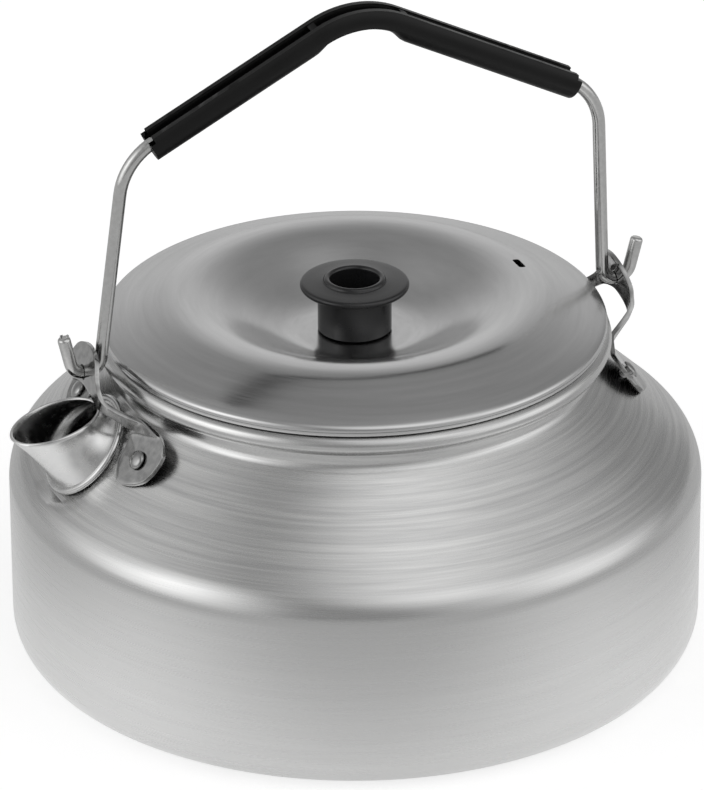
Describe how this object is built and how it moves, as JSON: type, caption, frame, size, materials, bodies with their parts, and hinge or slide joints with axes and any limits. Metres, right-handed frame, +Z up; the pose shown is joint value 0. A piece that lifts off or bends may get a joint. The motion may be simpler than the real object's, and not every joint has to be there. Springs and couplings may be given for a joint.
{
  "type": "camping kettle",
  "caption": "Low round camping kettle of spun aluminium with a pressed spout, a lift-off lid with a spool knob, riveted ears and a swinging wire bail with a slotted black grip.",
  "frame": {"origin": "middle of the flat base, on the surface the kettle stands on", "axes": "+X points to the rear ear, the spout points to -X, +Y is across, +Z is up; the bail's swing axis runs along X"},
  "size_m": [0.1584, 0.155, 0.1524],
  "materials": {
    "spun_aluminium": "lightly brushed round the axis",
    "pressed_aluminium": "satin",
    "bright_steel": "polished",
    "drawn_wire": "bright drawn",
    "black_phenolic": "semi-gloss",
    "black_nylon": "satin"
  },
  "bodies": {
    "kettle": {"kettle_body": "spun_aluminium", "spout": "pressed_aluminium", "spout_side_ear": "bright_steel", "rear_ear": "bright_steel", "ear_rivet_1": "bright_steel", "ear_rivet_2": "bright_steel", "ear_rivet_3": "bright_steel", "ear_rivet_4": "bright_steel"},
    "lid": {"lid": "pressed_aluminium", "lid_knob": "black_phenolic", "knob_rivet": "bright_steel", "knob_washer": "bright_steel"},
    "bail": {"bail_wire": "drawn_wire", "bail_grip": "black_nylon"}
  },
  "joints": [
    {"name": "lid_lift", "type": "slide", "parent": "kettle", "child": "lid", "axis": [0, 0, 1], "range_m": [0, 0.017]},
    {"name": "bail_swing", "type": "hinge", "parent": "kettle", "child": "bail", "pos_m": [0, 0, 0.0755], "axis": [1, 0, 0], "range_deg": [-103, 99]}
  ]
}
